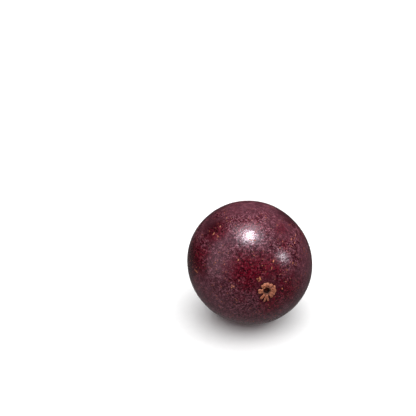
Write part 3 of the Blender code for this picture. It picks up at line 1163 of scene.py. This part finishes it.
# Room around: its brightness straight ahead and down below, and how low a direction counts as below
ROOM_LEVEL = 0.015
ROOM_LOW = 0.15
ROOM_LOW_HEIGHT = -0.95

# Floor: half its side in metres, how far it lies under the fruit, its greys, grain and faint glow
FLOOR_HALF = 0.5
FLOOR_GAP_MM = 0.02
FLOOR_DIM = (0.86,) * 3
FLOOR_PALE = (0.90,) * 3
FLOOR_GRAIN = 900.0
FLOOR_ROUGHNESS = 0.9
FLOOR_SPECULAR = 0.2
FLOOR_GLOW = 0.015
WHITE = (1.0, 1.0, 1.0, 1.0)


def camera_axes():
    """The camera's right, up and back, towards the viewer."""
    level = Vector((math.sin(CAMERA_AZIMUTH), -math.cos(CAMERA_AZIMUTH), 0.0))
    back = level * math.cos(CAMERA_ELEVATION) + Vector((0.0, 0.0, math.sin(CAMERA_ELEVATION)))
    right = Vector((math.cos(CAMERA_AZIMUTH), math.sin(CAMERA_AZIMUTH), 0.0))
    return right, back.cross(right), back


def camera_place():
    """Where the camera stands so that the fruit is as large and where the photograph has it."""
    right, up, back = camera_axes()
    pixels_per_radian = FRAME_PIXELS * LENS_MM / SENSOR_MM
    distance = HALF_WIDTH_MM * MM * pixels_per_radian / RADIUS_PIXELS
    sideways = distance * (FRUIT_PIXEL_X - FRAME_PIXELS / 2.0) / pixels_per_radian
    downwards = distance * (FRUIT_PIXEL_Y - FRAME_PIXELS / 2.0) / pixels_per_radian
    return CENTRE + back * distance - right * sideways + up * downwards


def make_camera():
    """A long lens at the photograph's height and side."""
    data = bpy.data.cameras.new("camera")
    data.lens = LENS_MM
    data.sensor_width = SENSOR_MM
    data.clip_start = CLIP_START
    camera = new_object("camera", data)
    turn = Matrix(camera_axes()).transposed().to_4x4()
    camera.matrix_world = Matrix.Translation(camera_place()) @ turn
    bpy.context.scene.camera = camera


def mirrored_direction(pixel_x, pixel_y):
    """From the fruit towards a light whose reflection the photograph shows at this pixel."""
    right, up, back = camera_axes()
    across = (pixel_x - FRUIT_PIXEL_X) / RADIUS_PIXELS
    upwards = (FRUIT_PIXEL_Y - pixel_y) / RADIUS_PIXELS
    normal = right * across + up * upwards + back * math.sqrt(1.0 - across**2 - upwards**2)
    viewer = (camera_place() - CENTRE).normalized()
    return 2.0 * normal.dot(viewer) * normal - viewer


def make_light(name, direction, width, height, power):
    """A softbox in this direction from the fruit, facing it."""
    data = bpy.data.lights.new(name, "AREA")
    data.shape = "RECTANGLE"
    data.size = width
    data.size_y = height
    data.energy = power
    light = new_object(name, data)
    towards = direction.normalized()
    light.location = CENTRE + towards * LIGHT_DISTANCE
    light.rotation_euler = towards.to_track_quat("Z", "Y").to_euler()
    light.visible_camera = False
    return light


def make_surroundings():
    """White for the camera. Reflections see a dim room that is lighter low down, like the floor."""
    graph = Graph(bpy.data.worlds.new("room"))
    direction = graph.add("TexCoord").outputs["Generated"]
    height = graph.add("SeparateXYZ", direction).outputs["Z"]
    span = (ROOM_LOW_HEIGHT, 0.0, ROOM_LOW, ROOM_LEVEL)
    room = graph.add("MapRange", height, *span, interpolation_type="SMOOTHSTEP").outputs[0]
    seen = graph.add("LightPath").outputs["Is Camera Ray"]
    strength = graph.add("Mix", seen, None, room, 1.0).outputs[0]
    bpy.context.scene.world = graph.finish({"Color": WHITE, "Strength": strength}, "Background")


def make_lights():
    """A wide soft ceiling, a fainter light from below, and softboxes that only reflections see."""
    right, _, back = camera_axes()
    upwards = Vector((0.0, 0.0, 1.0))
    forwards = Vector((back.x, back.y, 0.0))
    above = upwards + CEILING_SIDE * right + CEILING_FRONT * back
    below = BOUNCE_SIDE * right + BOUNCE_FRONT * forwards - upwards
    ceiling = make_light("ceiling", above, CEILING_SIZE, CEILING_SIZE, CEILING_POWER)
    bounce = make_light("floor_bounce", below, BOUNCE_SIZE, BOUNCE_SIZE, BOUNCE_POWER)
    ceiling.visible_glossy = False
    bounce.visible_glossy = False
    for name, pixel_x, pixel_y, width, height, power in REFLECTED_LIGHTS:
        light = make_light(name, mirrored_direction(pixel_x, pixel_y), width, height, power)
        light.visible_diffuse = False


def make_floor():
    """Pale floor. It casts no shadow and isn't reflected, so the light from below reaches the fruit."""
    corners = ((-1.0, -1.0), (1.0, -1.0), (1.0, 1.0), (-1.0, 1.0))
    places = [(FLOOR_HALF * x, FLOOR_HALF * y, -FLOOR_GAP_MM * MM) for x, y in corners]
    floor = new_piece("floor", places, [(0, 1, 2, 3)])
    floor.visible_glossy = False
    floor.visible_diffuse = False
    floor.visible_shadow = False
    graph = Graph(bpy.data.materials.new("pale_floor"))
    grain = graph.noise(graph.add("TexCoord").outputs["Object"], FLOOR_GRAIN)
    floor.data.materials.append(graph.finish({
        "Base Color": graph.mix(grain, FLOOR_DIM, FLOOR_PALE),
        "Roughness": FLOOR_ROUGHNESS,
        "Specular IOR Level": FLOOR_SPECULAR,
        "Emission Color": WHITE,
        "Emission Strength": FLOOR_GLOW,
    }))


rosette = make_rosette()
rosette.data.materials.append(rosette_material())
skin = make_skin()
shade_under(skin, rosette)
skin.data.materials.append(skin_material())
flecks = make_flecks()
flecks.data.materials.append(fleck_material())

# Piece, the solid that it stands for and its material slot
DRESSED = (
    (skin, "fruit", "skin"),
    (flecks, "fruit", "cork"),
    (rosette, "style_rosette", "cork"),
)
for piece, node, slot in DRESSED:
    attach(piece, "root")
    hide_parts(node)

make_surroundings()
make_lights()
make_floor()
make_camera()
bpy.context.scene.view_settings.view_transform = "Standard"
